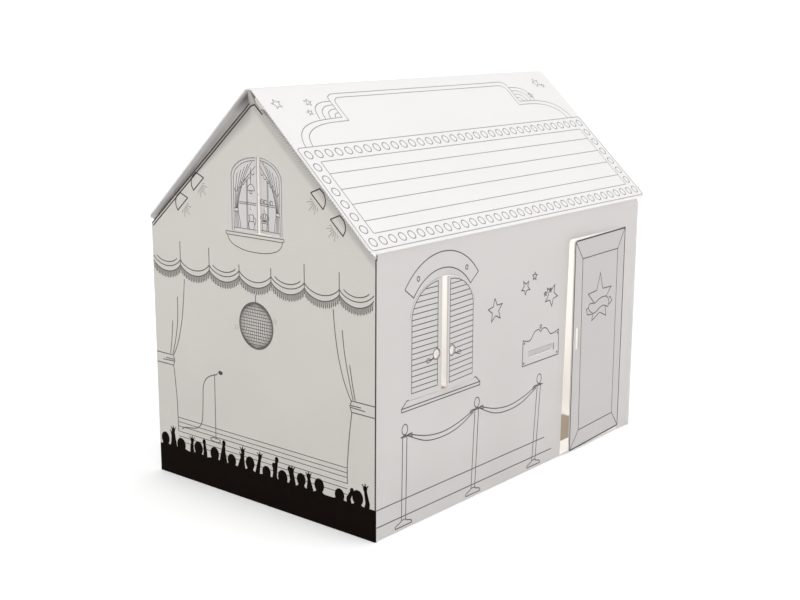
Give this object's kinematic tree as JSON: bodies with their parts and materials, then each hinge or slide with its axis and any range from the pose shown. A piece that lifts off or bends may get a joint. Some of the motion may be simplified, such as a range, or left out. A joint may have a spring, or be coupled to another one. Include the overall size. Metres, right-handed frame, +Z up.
{
  "type": "cardboard playhouse",
  "caption": "Child-size gabled playhouse folded from printed white corrugated board, with a creased roof, a hinged door, arched shutters and a letter flap",
  "frame": {"origin": "bottom centre of the whole part's box, on the floor it stands on", "axes": "+Z up; the long wall with the door and the arched window faces -Y; the printed gable with the small window faces -X"},
  "size_m": [1.456, 0.9444, 1.241],
  "materials": {
    "wall_board": "matt white liner with printed line drawing, cream inside",
    "roof_board": "matt white liner with printed line drawing",
    "flap_board": "matt white liner with printed line drawing, cream inside"
  },
  "bodies": {
    "house": {"front_wall_sheet": "wall_board", "back_wall_sheet": "wall_board", "roof_sheet": "roof_board"},
    "door": {"door": "flap_board"},
    "shutter_left": {"shutter_left": "flap_board"},
    "shutter_right": {"shutter_right": "flap_board"},
    "gable_shutter_left": {"gable_shutter_left": "flap_board"},
    "gable_shutter_right": {"gable_shutter_right": "flap_board"},
    "letter_flap": {"letter_flap": "flap_board"}
  },
  "joints": [
    {"name": "door_hinge", "type": "hinge", "parent": "house", "child": "door", "pos_m": [0.603, -0.44984, 0.374], "axis": [0, 0, 1], "range_deg": [-3.6, 146.4]},
    {"name": "shutter_left_hinge", "type": "hinge", "parent": "house", "child": "shutter_left", "pos_m": [-0.567, -0.44984, 0.49], "axis": [0, 0, -1], "range_deg": [-0.5, 149.5]},
    {"name": "shutter_right_hinge", "type": "hinge", "parent": "house", "child": "shutter_right", "pos_m": [-0.263, -0.44984, 0.49], "axis": [0, 0, 1], "range_deg": [-4.5, 145.5]},
    {"name": "gable_shutter_left_hinge", "type": "hinge", "parent": "house", "child": "gable_shutter_left", "pos_m": [-0.713, 0.10616, 0.9], "axis": [0, 0, -1], "range_deg": [-10.5, 151.5]},
    {"name": "gable_shutter_right_hinge", "type": "hinge", "parent": "house", "child": "gable_shutter_right", "pos_m": [-0.713, -0.10384, 0.9], "axis": [0, 0, 1], "range_deg": [-5, 157]},
    {"name": "letter_flap_hinge", "type": "hinge", "parent": "house", "child": "letter_flap", "pos_m": [0.0965, -0.44534, 0.405], "axis": [1, 0, 0], "range_deg": [-16, 69]}
  ]
}
